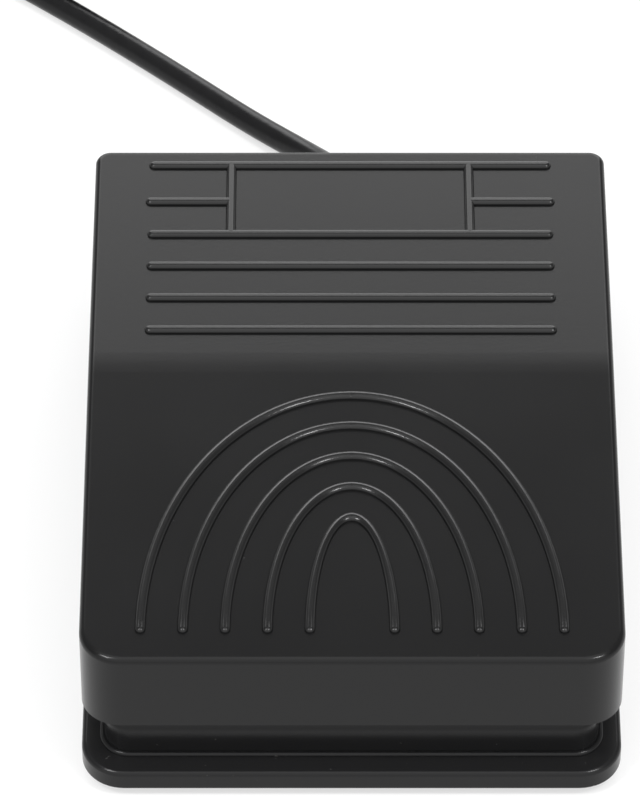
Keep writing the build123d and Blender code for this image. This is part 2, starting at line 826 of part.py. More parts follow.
# Its shaft, with a shoulder on each side of the lever's hub
shaft_left = lever_x - lever_thickness / 2
with BuildPart() as sensor_shaft:
    with BuildSketch(Plane.YZ.offset(shaft_left)):
        with Locations((sensor_y, sensor_z)):
            Circle(sensor_shaft_diameter / 2)
    extrude(amount=sensor_body_x + sensor_body_width - shaft_left)
    chamfer(sensor_shaft.edges().filter_by(GeomType.CIRCLE), sensor_shaft_diameter / 10)
write(sensor_shaft, "sensor_shaft")

# Lever: a hub on the shaft, an arm towards the front and a pin that runs in the pusher's slot
with BuildPart() as sensor_lever:
    with BuildSketch(Plane.YZ.offset(lever_x - lever_thickness / 2)):
        with Locations((sensor_y, sensor_z)):
            Circle(lever_hub_radius)
        with Locations((pusher_y, lever_pin_z)):
            Circle(lever_eye_radius)
        with BuildLine():
            Polyline(
                (sensor_y, sensor_z + lever_hub_radius),
                (pusher_y, lever_pin_z + lever_eye_radius),
                (pusher_y, lever_pin_z - lever_eye_radius),
                (sensor_y, sensor_z - lever_hub_radius),
                close=True,
            )
        make_face()
        with Locations((sensor_y, sensor_z)):
            Circle(sensor_shaft_diameter / 2 + press_gap, mode=Mode.SUBTRACT)
    extrude(amount=lever_thickness)
    with BuildSketch(Plane.YZ.offset(lever_x - lever_thickness / 2)):
        with Locations((pusher_y, lever_pin_z)):
            Circle(lever_pin_diameter / 2)
    extrude(amount=-(pusher_thickness + 2 * ear_side_gap))
write(sensor_lever, "sensor_lever")

# ---------------------------------------------------------------- circuit board

with BuildPart() as circuit_board:
    with BuildSketch(Plane.XY.offset(board_z)):
        with Locations((0, (board_front_y + board_rear_y) / 2)):
            Rectangle(board_width, board_rear_y - board_front_y)
        with Locations(*board_screws):
            Circle(small_screw_diameter / 2 + screw_fit, mode=Mode.SUBTRACT)
    extrude(amount=board_thickness)
write(circuit_board, "circuit_board")

with BuildPart() as board_fixings:
    with BuildSketch(Plane.XY.offset(board_top)):
        with Locations(*board_screws):
            Circle(small_screw_head / 2)
    extrude(amount=small_screw_head_height)
    chamfer(board_fixings.edges().group_by(Axis.Z)[-1], small_screw_head_height / 2)
    with BuildSketch(Plane.XY.offset(board_top)):
        with Locations(*board_screws):
            Circle(small_screw_diameter / 2)
    extrude(amount=floor_top + screw_fit - board_top)
write(board_fixings, "board_screws")

# Capacitor can, film capacitor and two resistors, standing or lying on the board
part_y = board_front_y + part_row
with BuildPart() as board_components:
    with BuildSketch(Plane.XY.offset(board_top)):
        with Locations((part_spread, part_y)):
            Circle(can_diameter / 2)
    extrude(amount=can_height)
    chamfer(board_components.edges().group_by(Axis.Z)[-1], can_bevel)
    with BuildSketch(Plane.XY.offset(board_top)):
        with Locations((-part_spread, part_y)):
            Rectangle(film_length, film_width)
    extrude(amount=film_height)
    with BuildSketch(Plane.YZ.offset(-resistor_length / 2)):
        with Locations(
            (part_y - resistor_pitch / 2, board_top + resistor_diameter / 2),
            (part_y + resistor_pitch / 2, board_top + resistor_diameter / 2),
        ):
            Circle(resistor_diameter / 2)
    extrude(amount=resistor_length)
write(board_components, "board_components")

# ---------------------------------------------------------------- cord inside the base

with BuildPart() as cord_clamp:
    with BuildSketch(Plane.XY.offset(cord_z + clamp_gap)):
        with Locations((0, clamp_y)):
            RectangleRounded(clamp_width, clamp_length, clamp_length / 4)
        with Locations(*clamp_screws):
            Circle(small_screw_diameter / 2 + screw_fit, mode=Mode.SUBTRACT)
    extrude(amount=clamp_height)
    with BuildSketch(Plane.XZ.offset(-clamp_y - clamp_length)):
        with Locations((0, cord_z)):
            Circle(cord_radius + cord_fit)
    extrude(amount=2 * clamp_length, mode=Mode.SUBTRACT)
write(cord_clamp, "cord_clamp")

clamp_top = cord_z + clamp_gap + clamp_height
with BuildPart() as clamp_fixings:
    with BuildSketch(Plane.XY.offset(clamp_top)):
        with Locations(*clamp_screws):
            Circle(small_screw_head / 2)
    extrude(amount=small_screw_head_height)
    chamfer(clamp_fixings.edges().group_by(Axis.Z)[-1], small_screw_head_height / 2)
    with BuildSketch(Plane.XY.offset(clamp_top)):
        with Locations(*clamp_screws):
            Circle(small_screw_diameter / 2)
    extrude(amount=floor_top + seat_gap - clamp_top)
write(clamp_fixings, "clamp_screws")

# Inner end of the cord, which ends in the moulded strain relief
relief_end = housing_rear + relief_length
relief_bore_end = housing_rear + relief_bore_depth
with BuildPart() as cord_inner_end:
    with BuildSketch(Plane.XZ.offset(-cord_end_y)):
        with Locations((0, cord_z)):
            Circle(cord_radius)
    extrude(amount=cord_end_y - relief_bore_end)
write(cord_inner_end, "cord_inner_end")

# Strain relief: flange inside the rear wall, neck through it, grooved taper outside. It is moulded
# onto the cord, so beyond the bore it is one with the jacket.
relief_inside = housing_rear - housing_wall - relief_flange_thickness
groove_pitch = relief_length / (relief_grooves + 1)
with BuildPart() as strain_relief:
    with BuildSketch(Plane.YZ):
        with BuildLine():
            Polyline(
                (relief_inside, cord_z + cord_radius + cord_fit),
                (relief_inside, cord_z + relief_flange_diameter / 2),
                (housing_rear - housing_wall, cord_z + relief_flange_diameter / 2),
                (housing_rear - housing_wall, cord_z + relief_neck_diameter / 2),
                (housing_rear, cord_z + relief_neck_diameter / 2),
                (housing_rear, cord_z + relief_root_diameter / 2),
                (relief_end, cord_z + relief_tip_diameter / 2),
                (relief_end, cord_z),
                (relief_bore_end + cord_fit, cord_z),
                (relief_bore_end + cord_fit, cord_z + cord_radius + cord_fit),
                close=True,
            )
        make_face()
        grooves = [(housing_rear + groove_pitch * (i + 1), cord_z) for i in range(relief_grooves)]
        groove_floor = relief_tip_diameter / 2 - relief_groove_depth / 2
        with Locations(*[(y, z + groove_floor) for y, z in grooves]):
            Rectangle(
                relief_groove_width, relief_root_diameter, align=(Align.CENTER, Align.MIN), mode=Mode.SUBTRACT
            )
    revolve(axis=Axis((0, 0, cord_z), (0, 1, 0)))
write(strain_relief, "strain_relief")

# Two leads from the cord's end to the board
for side, lead_name in ((-1, "lead_left"), (1, "lead_right")):
    with BuildPart() as lead:
        with BuildLine() as lead_path:
            FilletPolyline(
                (side * cord_radius / 2, cord_end_y, cord_z),
                (side * cord_radius / 2, cord_end_y - 2 * lead_diameter, cord_z),
                (side * 4 * lead_diameter, board_rear_y - 3 * lead_diameter, cord_z),
                (side * 4 * lead_diameter, board_rear_y - 3 * lead_diameter, board_top),
                radius=lead_diameter,
            )
        with BuildSketch(Plane(origin=lead_path.wire() @ 0, z_dir=lead_path.wire() % 0)):
            Circle(lead_diameter / 2)
        sweep(path=lead_path.wire())
    write(lead, lead_name)

# ---------------------------------------------------------------- free cord

# Route of the cord from the strain relief over the floor to the coil, chosen by hand
cord_route = [
    (0.0, relief_end, cord_z),
    (0.0, 62.0, cord_z),
    (-1.7, 70.2, 6.4),
    (-6.6, 78.1, 2.7),
    (-15.1, 85.7, cord_floor_z),
    (-24.7, 94.5, cord_floor_z),
    (-35.2, 103.9, cord_floor_z),
    (-47.2, 114.1, cord_floor_z),
    (-61.8, 125.4, cord_floor_z),
]
# Offsets from the coil's end to the plug on the floor beside it, after a first run straight on
tail_first_run = 9.4
plug_axis_z = plug_grip_diameter / 2 + floor_clearance
tail_offsets = [
    (15.8, -9.7, -3.3),
    (23.6, -14.6, -6.9),
    (31.9, -18.5, None),
    (40.4, -22.8, None),
]


def corner_radii(route):
    """Radius at each inner point: a share of its shorter run over the tangent of half its turn."""
    spots = [Vector(*spot) for spot in route]
    runs = [after - before for before, after in zip(spots, spots[1:])]
    return [
        bend_share * min(first.length, second.length) / math.tan(math.radians(first.get_angle(second)) / 2)
        for first, second in zip(runs, runs[1:])
    ]


def tube(route, diameter, name):
    """Cord stretch along straight runs and tangent arcs; prints its radii, length and volume."""
    radii = corner_radii(route)
    with BuildPart() as stretch:
        with BuildLine() as path:
            FilletPolyline(*route, radius=radii)
        with BuildSketch(Plane(origin=path.wire() @ 0, z_dir=path.wire() % 0)):
            Circle(diameter / 2)
        sweep(path=path.wire())
    length = path.wire().length
    ideal = math.pi * diameter**2 / 4 * length
    print(name, "radii", [round(r, 1) for r in radii], "length", round(length, 1))
    print(name, "volume share", round(stretch.part.volume / ideal, 4))
    write(stretch, name)
    return length


run_length = tube(cord_route, cord_diameter, "cord_run")

# Coil: spirals in and out in four layers, climbing a layer in each half turn where it reverses
coil_total_turns = coil_turns_per_layer * coil_layers - coil_last_turns_short
coil_outer = coil_mean_radius + coil_step * coil_turns_per_layer / 2
last_run = Vector(*cord_route[-1]) - Vector(*cord_route[-2])
entry_heading = math.atan2(last_run.Y, last_run.X)
coil_start = Vector(*cord_route[-1]) + last_run.normalized() * cord_diameter
coil_phase = entry_heading + math.pi / 2
coil_centre = coil_start - Vector(math.cos(coil_phase), math.sin(coil_phase), 0) * coil_outer


def coil_place(turns):
    """Place on the coil's centre line after some turns, clockwise seen from above."""
    layer, spent = divmod(turns, coil_turns_per_layer)
    inward = spent if layer % 2 == 0 else coil_turns_per_layer - spent
    radius = coil_outer - coil_step * inward
    nearest = round(turns / coil_turns_per_layer)
    beyond = turns - nearest * coil_turns_per_layer
    climb = min(max(2 * beyond + 0.5, 0), 1) if 0 < nearest < coil_layers else (nearest > 0) * 1.0
    level = nearest - 1 + climb if nearest > 0 else 0
    level = min(level, coil_layers - 1)
    angle = coil_phase - 2 * math.pi * turns
    return Vector(
        coil_centre.X + radius * math.cos(angle),
        coil_centre.Y + radius * math.sin(angle),
        cord_floor_z + coil_step * level,
    )


coil_quarters = round(4 * coil_total_turns)
wound = winding(coil_place, coil_quarters)
coil_gap = least_gap(wound, cord_diameter, 2 * math.pi * coil_mean_radius)
print("cord coil: least gap", round(coil_gap, 2), "length", round(wound.length, 1))
coil_end = wound @ 1 + (wound % 1) * cord_diameter
with BuildPart() as cord_coil:
    with BuildLine() as coil_path:
        Line(wound @ 0 - (wound % 0) * cord_diameter, wound @ 0)
        add(wound)
        Line(wound @ 1, coil_end)
    with BuildSketch(Plane(origin=coil_path.wire() @ 0, z_dir=coil_path.wire() % 0)):
        RegularPolygon(cord_radius, coil_sides)
    sweep(path=coil_path.wire())
write(cord_coil, "cord_coil")

# Tail from the coil to the plug
tail_heading = (wound % 1).normalized()
tail_route = [coil_end, coil_end + tail_heading * tail_first_run]
for dx, dy, dz in tail_offsets:
    height = plug_axis_z if dz is None else coil_end.Z + dz
    tail_route.append(Vector(coil_end.X + dx, coil_end.Y + dy, height))
tail_length = tube([tuple(spot) for spot in tail_route], cord_diameter, "cord_tail")
coil_length = wound.length + 2 * cord_diameter
print("cord length", round(run_length + coil_length + tail_length, 1), "centre", coil_centre)

# ---------------------------------------------------------------- jack plug

plug_start = tail_route[-1]
plug_heading = (tail_route[-1] - tail_route[-2]).normalized()
plug_plane = Plane(
    origin=plug_start, x_dir=plug_heading, z_dir=plug_heading.cross(Vector(0, 0, 1))
)
plug_axis = Axis(plug_start, plug_heading)
grip_radius = plug_grip_diameter / 2
neck_radius = plug_neck_diameter / 2
jack_radius = jack_diameter / 2
grip_start = plug_neck_length
sleeve_start = grip_start + plug_grip_length
ring_start = sleeve_start + jack_sleeve_length
tip_start = ring_start + jack_ring_length
neck_groove_pitch = plug_neck_length / (neck_grooves + 1)


def turned(outline, name, cuts=()):
    """Piece of the plug turned about its axis from (along, radius) points."""
    with BuildPart() as piece:
        with BuildSketch(plug_plane):
            with BuildLine():
                Polyline(*outline, close=True)
            make_face()
            if cuts:
                with Locations(*cuts):
                    Rectangle(
                        relief_groove_width,
                        plug_grip_diameter,
                        align=(Align.CENTER, Align.MIN),
                        mode=Mode.SUBTRACT,
                    )
        revolve(axis=plug_axis)
    write(piece, name)


turned(
    [
        (0, 0),
        (0, neck_radius - neck_taper),
        (grip_start, neck_radius + neck_taper),
        (grip_start + shoulder_start, grip_radius - shoulder_step),
        (grip_start + shoulder_start + shoulder_length, grip_radius),
        (sleeve_start - nose_length, grip_radius),
        (sleeve_start - nose_bevel, grip_radius - nose_step),
        (sleeve_start, grip_radius - nose_step - nose_bevel),
        (sleeve_start, 0),
    ],
    "plug_grip",
    cuts=[(neck_groove_pitch * (i + 1), neck_radius - neck_groove_depth) for i in range(neck_grooves)],
)
turned(
    [
        (sleeve_start, 0),
        (sleeve_start, jack_radius + collar_step),
        (sleeve_start + collar_length, jack_radius + collar_step),
        (sleeve_start + collar_length, jack_radius),
        (ring_start, jack_radius),
        (ring_start, 0),
    ],
    "plug_sleeve",
)
turned(
    [
        (ring_start, 0),
        (ring_start, jack_radius - ring_inset),
        ((ring_start + tip_start) / 2, jack_radius - ring_waist),
        (tip_start, jack_radius - ring_inset),
        (tip_start, 0),
    ],
    "plug_insulator",
)
tip_end = tip_start + jack_tip_length
turned(
    [
        (tip_start, 0),
        (tip_start, jack_radius - tip_inset),
        (tip_start + tip_neck_start, jack_neck_diameter / 2),
        (tip_start + tip_neck_end, jack_neck_diameter / 2),
        (tip_start + tip_bulb, jack_radius - tip_bulb_inset),
        (tip_end - tip_point, jack_radius / 3),
        (tip_end, jack_radius / 6),
        (tip_end, 0),
    ],
    "plug_tip",
)
print("plug start", plug_start, "heading", plug_heading, "sleeve from", sleeve_start, "to", ring_start)
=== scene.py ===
import math

import bmesh
import bpy
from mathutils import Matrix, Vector


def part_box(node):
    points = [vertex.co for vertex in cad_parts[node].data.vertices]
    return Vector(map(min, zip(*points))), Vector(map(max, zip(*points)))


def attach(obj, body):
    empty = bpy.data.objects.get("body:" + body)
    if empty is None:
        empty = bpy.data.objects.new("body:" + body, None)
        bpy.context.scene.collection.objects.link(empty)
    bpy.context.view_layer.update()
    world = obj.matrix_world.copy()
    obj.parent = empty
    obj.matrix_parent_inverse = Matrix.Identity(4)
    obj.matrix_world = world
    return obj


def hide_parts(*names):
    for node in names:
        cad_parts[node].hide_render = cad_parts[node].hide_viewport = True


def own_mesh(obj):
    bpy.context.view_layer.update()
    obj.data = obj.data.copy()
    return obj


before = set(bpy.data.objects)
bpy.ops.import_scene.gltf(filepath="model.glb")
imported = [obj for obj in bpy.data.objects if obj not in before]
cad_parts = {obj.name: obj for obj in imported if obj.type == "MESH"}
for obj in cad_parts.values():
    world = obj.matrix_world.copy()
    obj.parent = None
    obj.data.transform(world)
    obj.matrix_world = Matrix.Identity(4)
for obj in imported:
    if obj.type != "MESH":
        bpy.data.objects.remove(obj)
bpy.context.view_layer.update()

# ---------------------------------------------------------------- the view
# The pedal is seen from the front, 46 degrees above the table, through a long lens that stands
# about 0.85 m away, so that its sides run almost parallel. Sizes are in metres, given through MM.

MM = 0.001
view_from = Vector((-4.44, -590.225, 638.5)) * MM
view_down = math.radians(46)
view_lens = 264.0
view_sensor = 36.0

bpy.context.scene.view_settings.view_transform = "Standard"
camera_data = bpy.data.cameras.new("picture_camera")
camera_data.lens = view_lens
camera_data.sensor_width = view_sensor
camera_data.clip_start = 0.05
camera_data.clip_end = 50.0
camera = bpy.data.objects.new("picture_camera", camera_data)
camera.location = view_from
camera.rotation_euler = (math.pi / 2 - view_down, 0, 0)
bpy.context.scene.collection.objects.link(camera)
bpy.context.scene.camera = camera

# ---------------------------------------------------------------- cord
# A round PVC lead, 3.8 mm thick and about 1.5 m long. It leaves the middle of the rear wall, turns
# to the left along the table, and what is left over is wound into a flat coil of four layers.

cord_diameter = 3.8 * MM
cord_radius = cord_diameter / 2
cord_above_floor = 0.05 * MM
cord_floor_z = cord_radius + cord_above_floor


class Wire:
    """One socket of a shader. Sums on it add Math nodes, and node() adds any other node."""

    def __init__(self, tree, socket=None):
        self.tree = tree
        self.socket = socket

    def node(self, kind, settings=None, sockets=None, output=0):
        """Add a node: its settings first, then the values or links of its sockets."""
        made = self.tree.nodes.new(kind)
        for name, value in (settings or {}).items():
            setattr(made, name, value)
        for name, value in (sockets or {}).items():
            if isinstance(value, Wire):
                self.tree.links.new(value.socket, made.inputs[name])
            else:
                made.inputs[name].default_value = value
        return Wire(self.tree, made.outputs[output])

    def math(self, operation, first, second=0.0):
        return self.node("ShaderNodeMath", {"operation": operation}, {0: first, 1: second})

    def noise(self, place, scale, detail):
        """The grey level of a noise texture at a place."""
        return self.node("ShaderNodeTexNoise", None, {"Vector": place, "Scale": scale, "Detail": detail})

    def blend(self, share, first, second):
        """The first colour where share is 0, the second where it is 1."""
        sockets = {"Factor": share}
        for socket, colour in ((6, first), (7, second)):
            sockets[socket] = colour if isinstance(colour, Wire) else (*colour, 1)
        return self.node("ShaderNodeMix", {"data_type": "RGBA"}, sockets, 2)

    def bumps(self, height, strength, depth):
        """The bent normal of a surface with this relief."""
        sockets = {"Height": height, "Strength": strength, "Distance": depth}
        return self.node("ShaderNodeBump", None, sockets)

    def __add__(self, other):
        return self.math("ADD", self, other)

    def __radd__(self, other):
        return self.math("ADD", other, self)

    def __sub__(self, other):
        return self.math("SUBTRACT", self, other)

    def __rsub__(self, other):
        return self.math("SUBTRACT", other, self)

    def __mul__(self, other):
        return self.math("MULTIPLY", self, other)

    def __rmul__(self, other):
        return self.math("MULTIPLY", other, self)

    def __truediv__(self, other):
        return self.math("DIVIDE", self, other)

    def rise(self, low, high):
        """0 below low, 1 above high, with a soft step between."""
        settings = {"interpolation_type": "SMOOTHSTEP"}
        return self.node("ShaderNodeMapRange", settings, {"Value": self, "From Min": low, "From Max": high})

    def above(self, edge, softness):
        """0 below edge, 1 above it, with a soft step of this half width."""
        return self.rise(edge - softness, edge + softness)


def new_material(name):
    """An empty material, with a wire to start from and its output node."""
    material = bpy.data.materials.new(name)
    material.use_nodes = True
    tree = material.node_tree
    tree.nodes.clear()
    return material, Wire(tree), tree.nodes.new("ShaderNodeOutputMaterial")


def close_material(material, wire, output, sockets):
    """Join a Principled shader with these values and links to the output."""
    shader = wire.node("ShaderNodeBsdfPrincipled", None, sockets)
    wire.tree.links.new(shader.socket, output.inputs["Surface"])
    return material


# extruded black PVC: slow waves from the die, a fine grain, and a gloss that follows the waves
plastic_ior = 1.5
cord_black = (0.006, 0.006, 0.0065)
cord_shine = 0.25
wave_scale, wave_detail, wave_share = 420.0, 2.0, 0.7
pore_scale, pore_detail, pore_share = 2600.0, 1.0, 0.12
jacket_strength, jacket_depth = 0.6, 0.2 * MM
jacket_roughness, wave_roughness = 0.24, 0.1

cord_pvc, wire, output = new_material("cord_pvc")
place = wire.node("ShaderNodeTexCoord", None, None, "Object")
waves = wire.noise(place, wave_scale, wave_detail)
pores = wire.noise(place, pore_scale, pore_detail)
close_material(cord_pvc, wire, output, {
    "Base Color": (*cord_black, 1),
    "IOR": plastic_ior,
    "Specular IOR Level": cord_shine,
    "Roughness": jacket_roughness + waves * wave_roughness,
    "Normal": wire.bumps(waves * wave_share + pores * pore_share, jacket_strength, jacket_depth),
})

# the stretch from the strain relief to the coil, with the points of the solid's route
route = [
    (0, 54.425, 8.6),
    (0, 62.0, 8.6),
    (-1.7, 70.2, 6.4),
    (-6.6, 78.1, 2.7),
    (-15.1, 85.7, 1.95),
    (-24.7, 94.5, 1.95),
    (-35.2, 103.9, 1.95),
    (-47.2, 114.1, 1.95),
    (-61.8, 125.4, 1.95),
]
cord_points = [Vector(point) * MM for point in route]

# the coil: each layer spirals in or out, and the next one lies a step higher
coil_mean_radius = 20.6 * MM
coil_step = 4.3 * MM
coil_turns_per_layer = 2.75
coil_layers = 4
coil_last_left_off = 0.5
coil_climb_turns = 0.5
coil_turns = coil_turns_per_layer * coil_layers - coil_last_left_off
coil_outer = coil_mean_radius + coil_step * coil_turns_per_layer / 2
coil_points_per_turn = 16
coil_heading = (cord_points[-1] - cord_points[-2]).normalized()
coil_phase = math.atan2(coil_heading.y, coil_heading.x) + math.pi / 2
coil_start = cord_points[-1] + coil_heading * cord_diameter
coil_centre = coil_start - Vector((math.cos(coil_phase), math.sin(coil_phase), 0)) * coil_outer


def coil_place(turns):
    """Where the cord lies after so many turns of the coil."""
    layer, spent = divmod(turns, coil_turns_per_layer)
    inward = spent if layer % 2 == 0 else coil_turns_per_layer - spent
    radius = coil_outer - coil_step * inward
    # the climb to the next layer lies evenly about the end of each layer
    nearest = round(turns / coil_turns_per_layer)
    beyond = turns - nearest * coil_turns_per_layer
    climbed = min(max(beyond / coil_climb_turns + 0.5, 0), 1)
    climb = climbed if 0 < nearest < coil_layers else float(nearest > 0)
    level = min(nearest - 1 + climb if nearest > 0 else 0, coil_layers - 1)
    angle = coil_phase - 2 * math.pi * turns
    along = Vector((math.cos(angle), math.sin(angle), 0)) * radius
    return Vector((coil_centre.x, coil_centre.y, cord_floor_z + coil_step * level)) + along


coil_count = round(coil_turns * coil_points_per_turn)
for count in range(coil_count + 1):
    cord_points.append(coil_place(count * coil_turns / coil_count))
coil_exit = (cord_points[-1] - cord_points[-2]).normalized()
coil_exit.z = 0
coil_end = coil_place(coil_turns) + coil_exit * cord_diameter
cord_points.append(coil_end)

# the tail comes down from the coil to the plug
tail_first_run = 9.4 * MM
tail_steps = [(15.8, -9.7, -3.3), (23.6, -14.6, -6.9)]
plug_axis_z = 4.45 * MM
tail_level_steps = [(31.9, -18.5), (40.4, -22.8)]
cord_points.append(coil_end + coil_exit * tail_first_run)
cord_points += [coil_end + Vector(step) * MM for step in tail_steps]
for step_x, step_y in tail_level_steps:
    cord_points.append(Vector((coil_end.x + step_x * MM, coil_end.y + step_y * MM, plug_axis_z)))

cord_curve = bpy.data.curves.new("cord", "CURVE")
cord_curve.dimensions = "3D"
cord_curve.resolution_u = 8
cord_curve.bevel_depth = cord_radius
cord_curve.bevel_resolution = 6
cord_curve.use_fill_caps = True
cord_line = cord_curve.splines.new("NURBS")
cord_line.points.add(len(cord_points) - 1)
for point, place in zip(cord_line.points, cord_points):
    point.co = (*place, 1)
cord_line.order_u = 3
cord_line.use_endpoint_u = True
cord = bpy.data.objects.new("cord", cord_curve)
bpy.context.scene.collection.objects.link(cord)
cord.data.materials.append(cord_pvc)
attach(cord, "base")
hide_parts("cord_run", "cord_coil", "cord_tail")

# ---------------------------------------------------------------- strain relief and plug grip
# Both are moulded onto the cord from softer black PVC, with a satin skin. Their grooves let them
# bend, and collect a little pale dust.


def assign(material, *names):
    """Give whole solids one material."""
    for name in names:
        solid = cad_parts[name].data
        solid.materials.clear()
        solid.materials.append(material)


dust_grey = (0.09, 0.088, 0.084)
dust_roughness = 0.3
speck_edge, speck_softness = 0.74, 0.03
specks_to_grain = 1 / 4
cloud_scale = 55.0
relief_depth = 0.1 * MM


def grained(name, colour, rough, grain, strength, spread=0.05, dust=0.0, shine=0.5):
    """Moulded plastic or rubber: a fine grain, a gloss that drifts by spread, and specks of dust."""
    material, wire, output = new_material(name)
    place = wire.node("ShaderNodeTexCoord", None, None, "Object")
    fine = wire.noise(place, grain, 2.0)
    cloud = wire.noise(place, cloud_scale, 4.0)
    speck = wire.noise(place, grain * specks_to_grain, 3.0).above(speck_edge, speck_softness) * dust
    return close_material(material, wire, output, {
        "Base Color": wire.blend(speck, colour, dust_grey),
        "IOR": plastic_ior,
        "Specular IOR Level": shine,
        "Roughness": rough + (cloud - 0.5) * spread + speck * dust_roughness,
        "Normal": wire.bumps(fine, strength, relief_depth),
    })


pvc_black = (0.011, 0.011, 0.0115)
moulded_pvc = grained(
    "moulded_pvc", pvc_black, rough=0.42, grain=2200.0, strength=0.2, spread=0.1, dust=0.5
)
assign(moulded_pvc, "strain_relief", "plug_grip")

# ---------------------------------------------------------------- plug contacts
# The sleeve and the tip are turned from brass and nickel-plated, so fine rings run round them. The
# insulating ring between them is glossy black nylon.

plug_low, plug_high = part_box("plug_sleeve")
plug_middle = (Vector(plug_low) + Vector(plug_high)) / 2
plug_heading = Vector((0.892318, -0.451408, 0))
ring_strength = 0.12
stain_scale = 700.0
stain_edge, stain_softness = 0.62, 0.1
stain_share, stain_keeps = 0.5, 0.72
stain_roughness = 0.14


def turned_metal(name, colour, rough, centre, heading, rings_per_metre):
    """Plated or bright metal with turning marks square to its axis, and faint stains."""
    material, wire, output = new_material(name)
    place = wire.node("ShaderNodeTexCoord", None, None, "Object")
    shifted = wire.node("ShaderNodeVectorMath", {"operation": "SUBTRACT"}, {0: place, 1: tuple(centre)})
    along = wire.node(
        "ShaderNodeVectorMath", {"operation": "DOT_PRODUCT"}, {0: shifted, 1: tuple(heading)}, 1
    )
    rings = wire.node(
        "ShaderNodeTexNoise", {"noise_dimensions": "1D"},
        {"W": along, "Scale": rings_per_metre, "Detail": 3.0},
    )
    stains = wire.noise(place, stain_scale, 4.0)
    stained = [part * stain_keeps for part in colour]
    return close_material(material, wire, output, {
        "Base Color": wire.blend(stains.above(stain_edge, stain_softness) * stain_share, colour, stained),
        "Metallic": 1.0,
        "Roughness": rough + stains * stain_roughness,
        "Normal": wire.bumps(rings, ring_strength, relief_depth),
    })


nickel, nylon_black = (0.66, 0.65, 0.62), (0.012, 0.012, 0.012)
plug_nickel = turned_metal("plug_nickel", nickel, 0.1, plug_middle, plug_heading, rings_per_metre=9000.0)
plug_nylon = grained("plug_nylon", nylon_black, rough=0.22, grain=3000.0, strength=0.06)
assign(plug_nickel, "plug_sleeve", "plug_tip")
assign(plug_nylon, "plug_insulator")

# ---------------------------------------------------------------- treadle cover
# One black ABS moulding with raised grip lines: nested arches at the toe, cross ribs at the heel and
# a bare field. The mould's spark-eroded skin gives it a fine satin, and shoes have scuffed it a little.

abs_black = (0.0068, 0.0068, 0.007)
scuff_grey = (0.1, 0.098, 0.094)
treadle_shine = 0.24
treadle_roughness, cloud_roughness, scuff_roughness = 0.19, 0.05, 0.06
treadle_grain, treadle_clouds, treadle_specks = 3200.0, 45.0, 1500.0
treadle_strength, grain_share, scuff_share = 0.07, 0.8, 0.3
# scuffs run along the foot's way, and gather where the skin is worn
scuff_stretch = (700.0, 120.0, 400.0)
scuff_edge, scuff_softness = 0.72, 0.04
worn_edge, worn_softness = 0.56, 0.06
fleck_edge, fleck_softness = 0.79, 0.02
fleck_pale, scuff_pale = 0.1, 0.015
# the toe field climbs at two degrees to the bend, and the heel field is level from there
heel_height = 30.134 * MM
bend_place = 5.9 * MM
toe_slope = math.tan(math.radians(2))
# shoes polish the raised lines, which stand higher over the field than this
polished_from, polish_softness = 0.2 * MM, 0.1 * MM
polish_weight, polish_roughness = 0.28, 0.18

treadle_abs, wire, output = new_material("treadle_abs")
place = wire.node("ShaderNodeTexCoord", None, None, "Object")
fine = wire.noise(place, treadle_grain, 2.0)
cloud = wire.noise(place, treadle_clouds, 4.0)
drawn = wire.node("ShaderNodeMapping", None, {"Vector": place, "Scale": scuff_stretch})
worn = cloud.above(worn_edge, worn_softness)
scuff = wire.noise(drawn, 1.0, 3.0).above(scuff_edge, scuff_softness) * worn
fleck = wire.noise(place, treadle_specks, 2.0).above(fleck_edge, fleck_softness)
deep = wire.node("ShaderNodeSeparateXYZ", None, {"Vector": place}, "Y")
up = wire.node("ShaderNodeSeparateXYZ", None, {"Vector": place}, "Z")
field = heel_height - wire.math("MAXIMUM", bend_place - deep, 0.0) * toe_slope
polished = (up - field).above(polished_from, polish_softness)
close_material(treadle_abs, wire, output, {
    "Base Color": wire.blend(fleck * fleck_pale + scuff * scuff_pale, abs_black, scuff_grey),
    "IOR": plastic_ior,
    "Specular IOR Level": treadle_shine,
    "Coat Weight": polished * polish_weight,
    "Coat Roughness": polish_roughness,
    "Roughness": treadle_roughness + (cloud - 0.5) * cloud_roughness + scuff * scuff_roughness,
    "Normal": wire.bumps(fine * grain_share + scuff * scuff_share, treadle_strength, relief_depth),
})
assign(treadle_abs, "treadle_cover")

# ---------------------------------------------------------------- base plate and housing
# The wedge-shaped shell drops over the plate, and four screws from beneath hold the two together.
# Both are black ABS like the treadle, but less handled. A half-round bead runs along the upper edge
# of the shell's foot and stops on either side of the cord's notch.

base_black = (0.012, 0.012, 0.0124)
base_abs = grained("base_abs", base_black, rough=0.2, grain=3200.0, strength=0.07, dust=0.4, shine=0.2)
assign(base_abs, "base_plate", "base_housing")

housing_half_width = 34.7 * MM
housing_front, housing_rear = -46.175 * MM, 45.925 * MM
housing_corner = 3.5 * MM
bead_radius = 0.45 * MM
bead_stand = 0.25 * MM
bead_z = 5.1 * MM
bead_gap = 8 * MM
bead_end_run = 2 * MM
corner_steps = 8

